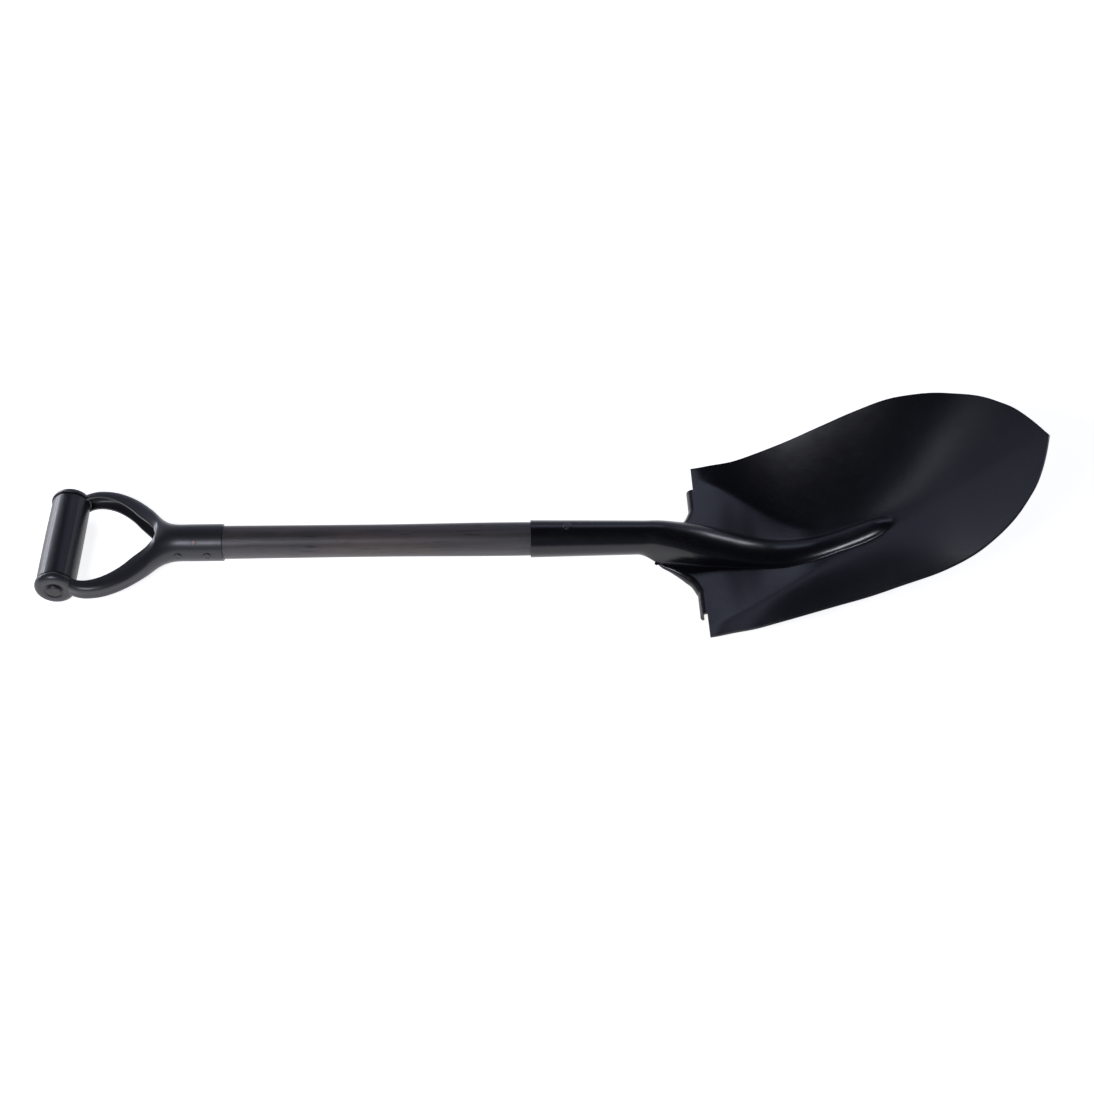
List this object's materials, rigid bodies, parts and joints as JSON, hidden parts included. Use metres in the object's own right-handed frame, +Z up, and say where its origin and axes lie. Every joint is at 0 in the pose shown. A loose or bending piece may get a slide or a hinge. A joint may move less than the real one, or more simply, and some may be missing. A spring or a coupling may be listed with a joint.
{
  "type": "round point shovel",
  "caption": "Round point shovel with a pressed, dished blade and rolled socket, a short wooden shaft, and a D grip on a forked steel yoke.",
  "frame": {"origin": "on the floor, under the middle of the overall box, with the shovel lying on its back and the blade's hollow side up", "axes": "+X along the shovel towards the blade's tip, +Y across its width, +Z up out of the blade's hollow side"},
  "size_m": [0.8842, 0.2184, 0.1635],
  "materials": {
    "blade_paint": "black semi-gloss paint on pressed steel",
    "shaft_wood": "round hardwood with a thin dark grey stain, some brown grain showing",
    "yoke_steel": "gunmetal grey satin coating on pressed steel",
    "pin_copper": "small bare steel pin with a brown tint",
    "grip_plastic": "moulded black plastic with a soft sheen",
    "rod_steel": "dull grey steel with formed heads"
  },
  "bodies": {
    "handle": {"blade": "blade_paint", "socket_rivet": "blade_paint", "shaft": "shaft_wood", "yoke": "yoke_steel", "yoke_rivets": "yoke_steel", "yoke_pin": "pin_copper", "grip_rod": "rod_steel"},
    "grip": {"grip_tube": "grip_plastic"}
  },
  "joints": [
    {"name": "grip_spin", "type": "hinge", "parent": "handle", "child": "grip", "pos_m": [-0.42415, 0, 0.018], "axis": [0, 1, 0], "continuous": true}
  ]
}
